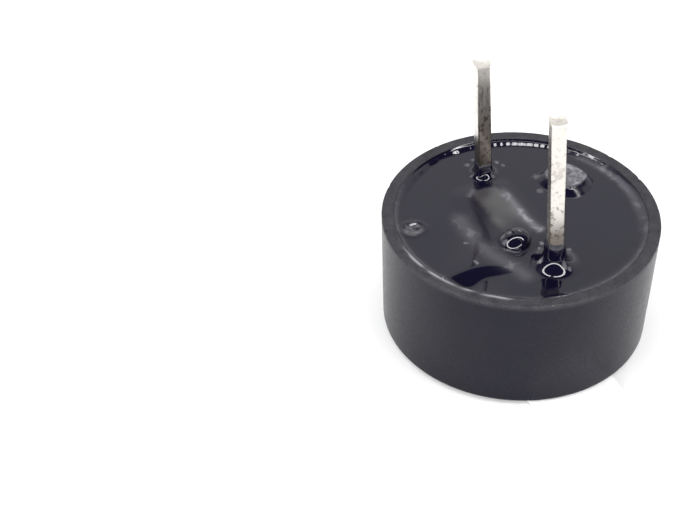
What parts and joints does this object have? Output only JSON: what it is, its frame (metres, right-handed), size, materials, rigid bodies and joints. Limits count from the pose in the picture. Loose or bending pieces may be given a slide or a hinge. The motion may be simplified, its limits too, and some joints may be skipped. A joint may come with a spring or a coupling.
{
  "type": "magnetic buzzer",
  "caption": "Round self-driving magnetic buzzer for through-hole boards: moulded cup, potted back with square pins, and a peel-off wash label over the sound hole.",
  "frame": {"origin": "on the case's axis, in the lower face of the wash label, which the buzzer rests on", "axes": "+Z along the case's axis, out of the potted back and along the pins; +X from the axis towards the positive pin and the label's ear"},
  "size_m": [0.0106, 0.009, 0.0097],
  "materials": {
    "label_paper": "satin white paper with blue print",
    "case_plastic": "satin moulded black plastic",
    "spring_steel": "rolled",
    "iron": "turned, plated",
    "ring_brass": "turned",
    "magnet": "sintered, plated",
    "copper_wire": "enamelled copper wire",
    "board_laminate": "paper laminate",
    "board_copper": "etched copper foil",
    "moulding_compound": "dull moulded epoxy",
    "tinned_metal": "tin plated wire, slightly stained",
    "solder": "reflowed solder",
    "resistor_ceramic": "glazed chip",
    "potting_resin": "glossy cast black epoxy"
  },
  "bodies": {
    "root": {"wash_label": "label_paper", "case": "case_plastic", "diaphragm": "spring_steel", "armature_disc": "iron", "support_ring": "ring_brass", "ring_magnet": "magnet", "pole_core": "iron", "yoke_plate": "iron", "drive_winding": "copper_wire", "sense_winding": "copper_wire", "circuit_board": "board_laminate", "copper_tracks": "board_copper", "transistor_body": "moulding_compound", "transistor_leads": "tinned_metal", "resistor_body": "resistor_ceramic", "resistor_caps": "tinned_metal", "chip_solder": "solder", "coil_solder": "solder", "positive_pin": "tinned_metal", "negative_pin": "tinned_metal", "pin_solder": "solder", "potting": "potting_resin"}
  },
  "joints": []
}
